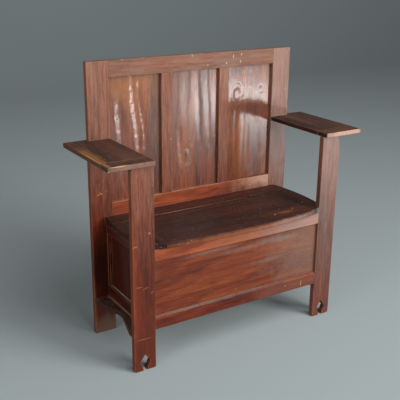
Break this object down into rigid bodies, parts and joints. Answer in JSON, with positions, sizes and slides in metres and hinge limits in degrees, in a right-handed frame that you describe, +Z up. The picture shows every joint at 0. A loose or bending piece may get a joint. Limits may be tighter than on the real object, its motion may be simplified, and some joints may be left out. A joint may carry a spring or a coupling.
{
  "type": "settle bench",
  "caption": "Wooden settle bench with a panelled back, flat arms and a panelled box under the seat, whose lid swings up on butt hinges.",
  "frame": {"origin": "on the floor, at the middle of the width and of the depth", "axes": "+Z up, +X to the right as seen from the front, -Y towards the front"},
  "size_m": [1.006, 0.362, 0.985],
  "materials": {
    "frame_mahogany": "aged shellac over dark red-brown mahogany, worn on the edges",
    "red_mahogany": "aged shellac over red-orange mahogany",
    "panel_mahogany": "glossy shellac over figured mahogany",
    "seat_mahogany": "darkened shellac, worn by sitting",
    "arm_mahogany": "dulled and greyed shellac, worn golden along the edges",
    "inner_timber": "bare planed softwood",
    "hinge_brass": "tarnished brass"
  },
  "bodies": {
    "frame": {"back_stile_left": "frame_mahogany", "back_stile_right": "frame_mahogany", "back_top_rail": "frame_mahogany", "back_bottom_rail": "frame_mahogany", "front_post_left": "frame_mahogany", "front_post_right": "frame_mahogany", "front_bottom_rail": "frame_mahogany", "side_top_rail_left": "frame_mahogany", "side_top_rail_right": "frame_mahogany", "side_bottom_rail_left": "frame_mahogany", "side_bottom_rail_right": "frame_mahogany", "side_rear_upright_left": "frame_mahogany", "side_rear_upright_right": "frame_mahogany", "side_front_upright_left": "frame_mahogany", "side_front_upright_right": "frame_mahogany", "end_board_left": "frame_mahogany", "end_board_right": "frame_mahogany", "back_seat_rail": "red_mahogany", "back_muntin_1": "red_mahogany", "back_muntin_2": "red_mahogany", "front_top_rail": "red_mahogany", "back_panel_left": "panel_mahogany", "back_panel_centre": "panel_mahogany", "back_panel_right": "panel_mahogany", "box_back_panel": "panel_mahogany", "front_panel": "panel_mahogany", "side_panel_left": "panel_mahogany", "side_panel_right": "panel_mahogany", "seat_hinge_rail": "seat_mahogany", "seat_end_strip_left": "seat_mahogany", "seat_end_strip_right": "seat_mahogany", "arm_board_left": "arm_mahogany", "arm_board_right": "arm_mahogany", "arm_cleat_left": "arm_mahogany", "arm_cleat_right": "arm_mahogany", "bottom_ledger_back": "inner_timber", "bottom_ledger_front": "inner_timber", "bottom_board_1": "inner_timber", "bottom_board_2": "inner_timber", "bottom_board_3": "inner_timber", "bottom_board_4": "inner_timber", "bottom_board_5": "inner_timber", "seat_batten": "inner_timber", "arm_dowel_inner_left": "inner_timber", "arm_dowel_inner_right": "inner_timber", "arm_dowel_outer_left": "inner_timber", "arm_dowel_outer_right": "inner_timber", "hinge_left_rail_leaf": "hinge_brass", "hinge_left_pin": "hinge_brass", "hinge_right_rail_leaf": "hinge_brass", "hinge_right_pin": "hinge_brass"},
    "lid": {"lid_board": "seat_mahogany", "lid_cleat_left": "seat_mahogany", "lid_cleat_right": "seat_mahogany", "hinge_left_lid_leaf": "hinge_brass", "hinge_right_lid_leaf": "hinge_brass"}
  },
  "joints": [
    {"name": "lid_hinge", "type": "hinge", "parent": "frame", "child": "lid", "pos_m": [0, 0.0842, 0.447], "axis": [-1, 0, 0], "range_deg": [0, 106]}
  ]
}
